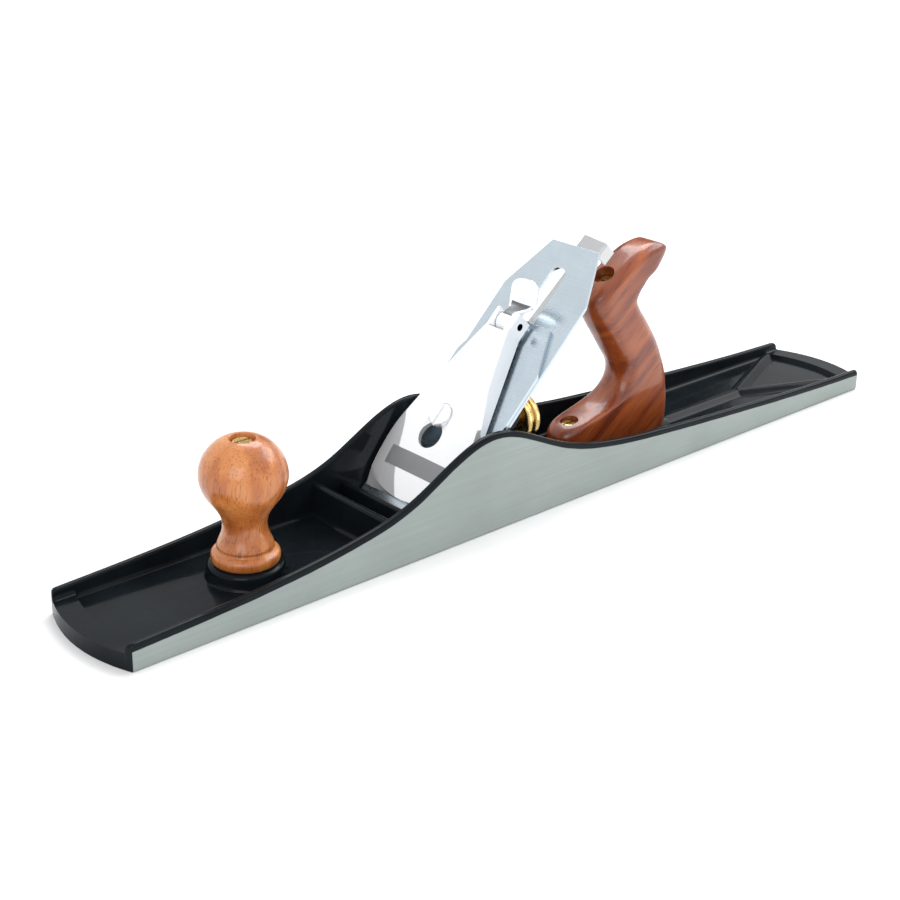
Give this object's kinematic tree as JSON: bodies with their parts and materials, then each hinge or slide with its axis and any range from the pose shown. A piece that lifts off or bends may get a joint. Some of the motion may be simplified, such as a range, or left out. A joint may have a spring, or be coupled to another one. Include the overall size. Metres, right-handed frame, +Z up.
{
  "type": "bench hand plane",
  "caption": "Long metal bench plane with a humped iron body, turned front knob, raked wooden rear handle, angled cutter, chrome lever cap and brass depth wheel.",
  "frame": {"origin": "centre of the sole, in the plane of the sole", "axes": "+X towards the toe, +Y to the left of a person pushing the plane, +Z up"},
  "size_m": [0.559, 0.07, 0.1349],
  "materials": {
    "ground_iron": "surface ground sides and sole, glossy black japanning inside",
    "black_japan": "glossy black japanning",
    "handle_wood": "polished reddish-brown hardwood",
    "brass": "turned and lightly worn",
    "steel": "machined",
    "cutter_steel": "ground, pale blue-grey",
    "chrome": "polished",
    "spring_steel": "dark"
  },
  "bodies": {
    "plane_body": {"body": "ground_iron", "knob": "handle_wood", "knob_stud": "steel", "knob_nut": "brass", "tote": "handle_wood", "tote_rod": "steel", "tote_nut": "brass", "tote_toe_screw": "brass", "frog_screws": "steel", "frog_washers": "steel"},
    "frog": {"frog": "black_japan", "frog_clip": "steel", "frog_clip_screw": "steel", "depth_stud": "steel", "yoke_pin": "steel", "lateral_rivet": "steel", "lever_cap_screw": "steel"},
    "frog_adjusting_screw": {"frog_adjusting_screw": "steel"},
    "depth_collar": {"depth_collar": "brass"},
    "depth_wheel": {"depth_wheel": "brass"},
    "yoke": {"yoke": "black_japan"},
    "cap_iron_screw": {"cap_iron_screw": "steel"},
    "iron_set": {"iron": "cutter_steel", "cap_iron": "cutter_steel"},
    "lateral_lever": {"lateral_lever": "steel", "lateral_disc": "steel"},
    "lever_cap": {"lever_cap": "chrome", "cap_spring": "spring_steel", "spring_rivet": "steel", "cam_pin": "steel"},
    "cam_lever": {"cam_lever": "chrome"}
  },
  "joints": [
    {"name": "frog_slide", "type": "slide", "parent": "plane_body", "child": "frog", "axis": [1, 0, 0], "range_m": [0, 0.0015]},
    {"name": "frog_adjusting_screw_turn", "type": "hinge", "parent": "frog", "child": "frog_adjusting_screw", "pos_m": [0.03, 0, 0.0152], "axis": [1, 0, 0], "range_deg": [0, 426]},
    {"name": "depth_collar_slide", "type": "slide", "parent": "frog", "child": "depth_collar", "axis": [1, 0, 0], "range_m": [-0.001, 0.0025]},
    {"name": "depth_wheel_turn", "type": "hinge", "parent": "depth_collar", "child": "depth_wheel", "pos_m": [0.004, 0, 0.041], "axis": [1, 0, 0], "range_deg": [-848, 340]},
    {"name": "yoke_swing", "type": "hinge", "parent": "frog", "child": "yoke", "pos_m": [0.022, 0, 0.0545], "axis": [0, 1, 0], "range_deg": [-10.6, 4.3]},
    {"name": "iron_depth", "type": "slide", "parent": "frog", "child": "cap_iron_screw", "axis": [-0.7071, 0, 0.7071], "range_m": [-0.0012, 0.003]},
    {"name": "iron_tilt", "type": "hinge", "parent": "cap_iron_screw", "child": "iron_set", "pos_m": [0.06189, 0, 0.03111], "axis": [0.7071, 0, 0.7071], "range_deg": [-1.2, 1.2]},
    {"name": "lateral_lever_swing", "type": "hinge", "parent": "frog", "child": "lateral_lever", "pos_m": [0.01769, 0, 0.07531], "axis": [0.7071, 0, 0.7071], "range_deg": [-7.7, 7.7]},
    {"name": "lever_cap_slide", "type": "slide", "parent": "frog", "child": "lever_cap", "axis": [-0.7071, 0, 0.7071], "range_m": [0, 0.0115]},
    {"name": "cam_lever_lift", "type": "hinge", "parent": "lever_cap", "child": "cam_lever", "pos_m": [0.0138, 0, 0.09617], "axis": [0, 1, 0], "range_deg": [0, 100]}
  ],
  "couplings": [
    {"joint": "frog_adjusting_screw_turn", "follows": "frog_slide", "rad_per_m": 4947.4},
    {"joint": "depth_wheel_turn", "follows": "iron_depth", "rad_per_m": -4930.4},
    {"joint": "depth_collar_slide", "follows": "iron_depth", "ratio": 0.83},
    {"joint": "yoke_swing", "follows": "iron_depth", "rad_per_m": -61.5},
    {"joint": "lateral_lever_swing", "follows": "iron_tilt", "ratio": -6.3529}
  ]
}
